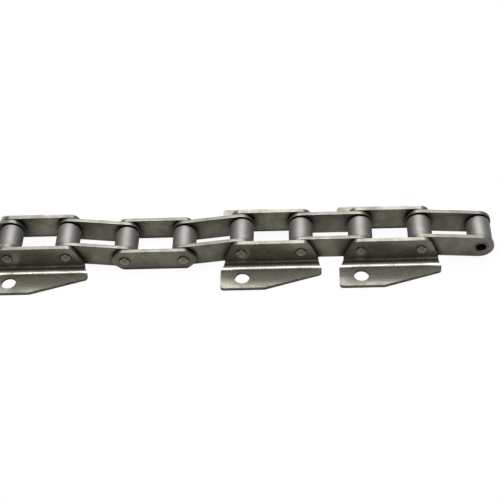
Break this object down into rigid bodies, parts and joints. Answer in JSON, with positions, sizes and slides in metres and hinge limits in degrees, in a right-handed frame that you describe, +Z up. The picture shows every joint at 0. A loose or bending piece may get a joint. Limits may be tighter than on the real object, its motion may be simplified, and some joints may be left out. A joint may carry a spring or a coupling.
{
  "type": "roller chain with attachments",
  "caption": "Length of steel roller conveyor chain with bent attachment plates: inner and outer links hinge on pins inside bushes, rollers spin, and drilled side flanges take slats.",
  "frame": {"origin": "on the bench that the chain lies on, midway between the two free bush bores, on the chain's centre line", "axes": "X along the chain towards the raised end, Y across the chain away from the viewer, Z up"},
  "size_m": [0.3896, 0.0734, 0.0246],
  "materials": {
    "plate_steel": "satin",
    "roller_steel": "satin",
    "pin_steel": "satin"
  },
  "bodies": {
    "link_1": {"link_1_inner_plate_front": "plate_steel", "link_1_inner_plate_back": "plate_steel", "link_1_bush_left": "pin_steel", "link_1_bush_right": "pin_steel"},
    "link_1_roller_left": {"link_1_roller_left": "roller_steel"},
    "link_1_roller_right": {"link_1_roller_right": "roller_steel"},
    "link_2": {"link_2_attachment_plate_front": "plate_steel", "link_2_attachment_plate_back": "plate_steel", "link_2_pin_left": "pin_steel", "link_2_pin_right": "pin_steel"},
    "link_3": {"link_3_inner_plate_front": "plate_steel", "link_3_inner_plate_back": "plate_steel", "link_3_bush_left": "pin_steel", "link_3_bush_right": "pin_steel"},
    "link_3_roller_left": {"link_3_roller_left": "roller_steel"},
    "link_3_roller_right": {"link_3_roller_right": "roller_steel"},
    "link_4": {"link_4_outer_plate_front": "plate_steel", "link_4_outer_plate_back": "plate_steel", "link_4_pin_left": "pin_steel", "link_4_pin_right": "pin_steel"},
    "link_5": {"link_5_inner_plate_front": "plate_steel", "link_5_inner_plate_back": "plate_steel", "link_5_bush_left": "pin_steel", "link_5_bush_right": "pin_steel"},
    "link_5_roller_left": {"link_5_roller_left": "roller_steel"},
    "link_5_roller_right": {"link_5_roller_right": "roller_steel"},
    "link_6": {"link_6_attachment_plate_front": "plate_steel", "link_6_attachment_plate_back": "plate_steel", "link_6_pin_left": "pin_steel", "link_6_pin_right": "pin_steel"},
    "link_7": {"link_7_inner_plate_front": "plate_steel", "link_7_inner_plate_back": "plate_steel", "link_7_bush_left": "pin_steel", "link_7_bush_right": "pin_steel"},
    "link_7_roller_left": {"link_7_roller_left": "roller_steel"},
    "link_7_roller_right": {"link_7_roller_right": "roller_steel"},
    "link_8": {"link_8_attachment_plate_front": "plate_steel", "link_8_attachment_plate_back": "plate_steel", "link_8_pin_left": "pin_steel", "link_8_pin_right": "pin_steel"},
    "link_9": {"link_9_inner_plate_front": "plate_steel", "link_9_inner_plate_back": "plate_steel", "link_9_bush_left": "pin_steel", "link_9_bush_right": "pin_steel"},
    "link_9_roller_left": {"link_9_roller_left": "roller_steel"},
    "link_9_roller_right": {"link_9_roller_right": "roller_steel"}
  },
  "joints": [
    {"name": "joint_1_hinge", "type": "hinge", "parent": "link_2", "child": "link_1", "pos_m": [-0.14467, 0, 0.015], "axis": [0, 1, 0], "range_deg": [-22.5, 43.49]},
    {"name": "joint_2_hinge", "type": "hinge", "parent": "link_3", "child": "link_2", "pos_m": [-0.10327, 0, 0.015], "axis": [0, 1, 0], "range_deg": [-22.5, 43.49]},
    {"name": "joint_3_hinge", "type": "hinge", "parent": "link_4", "child": "link_3", "pos_m": [-0.06222, 0, 0.0096], "axis": [0, 1, 0], "range_deg": [-37.49, 28.5]},
    {"name": "joint_4_hinge", "type": "hinge", "parent": "link_5", "child": "link_4", "pos_m": [-0.02082, 0, 0.0096], "axis": [0, 1, 0], "range_deg": [-37.49, 28.5]},
    {"name": "joint_5_hinge", "type": "hinge", "parent": "link_5", "child": "link_6", "pos_m": [0.02022, 0, 0.015], "axis": [0, -1, 0], "range_deg": [-22.5, 43.49]},
    {"name": "joint_6_hinge", "type": "hinge", "parent": "link_6", "child": "link_7", "pos_m": [0.06162, 0, 0.015], "axis": [0, -1, 0], "range_deg": [-30, 36]},
    {"name": "joint_7_hinge", "type": "hinge", "parent": "link_7", "child": "link_8", "pos_m": [0.10302, 0, 0.015], "axis": [0, -1, 0], "range_deg": [-30, 36]},
    {"name": "joint_8_hinge", "type": "hinge", "parent": "link_8", "child": "link_9", "pos_m": [0.14442, 0, 0.015], "axis": [0, -1, 0], "range_deg": [-25.84, 40.16]},
    {"name": "link_1_roller_left_spin", "type": "hinge", "parent": "link_1", "child": "link_1_roller_left", "pos_m": [-0.18572, 0, 0.0096], "axis": [0, 1, 0], "continuous": true},
    {"name": "link_1_roller_right_spin", "type": "hinge", "parent": "link_1", "child": "link_1_roller_right", "pos_m": [-0.14467, 0, 0.015], "axis": [0, 1, 0], "continuous": true},
    {"name": "link_3_roller_left_spin", "type": "hinge", "parent": "link_3", "child": "link_3_roller_left", "pos_m": [-0.10327, 0, 0.015], "axis": [0, 1, 0], "continuous": true},
    {"name": "link_3_roller_right_spin", "type": "hinge", "parent": "link_3", "child": "link_3_roller_right", "pos_m": [-0.06222, 0, 0.0096], "axis": [0, 1, 0], "continuous": true},
    {"name": "link_5_roller_left_spin", "type": "hinge", "parent": "link_5", "child": "link_5_roller_left", "pos_m": [-0.02082, 0, 0.0096], "axis": [0, 1, 0], "continuous": true},
    {"name": "link_5_roller_right_spin", "type": "hinge", "parent": "link_5", "child": "link_5_roller_right", "pos_m": [0.02022, 0, 0.015], "axis": [0, 1, 0], "continuous": true},
    {"name": "link_7_roller_left_spin", "type": "hinge", "parent": "link_7", "child": "link_7_roller_left", "pos_m": [0.06162, 0, 0.015], "axis": [0, 1, 0], "continuous": true},
    {"name": "link_7_roller_right_spin", "type": "hinge", "parent": "link_7", "child": "link_7_roller_right", "pos_m": [0.10302, 0, 0.015], "axis": [0, 1, 0], "continuous": true},
    {"name": "link_9_roller_left_spin", "type": "hinge", "parent": "link_9", "child": "link_9_roller_left", "pos_m": [0.14442, 0, 0.015], "axis": [0, 1, 0], "continuous": true},
    {"name": "link_9_roller_right_spin", "type": "hinge", "parent": "link_9", "child": "link_9_roller_right", "pos_m": [0.18572, 0, 0.012], "axis": [0, 1, 0], "continuous": true}
  ]
}
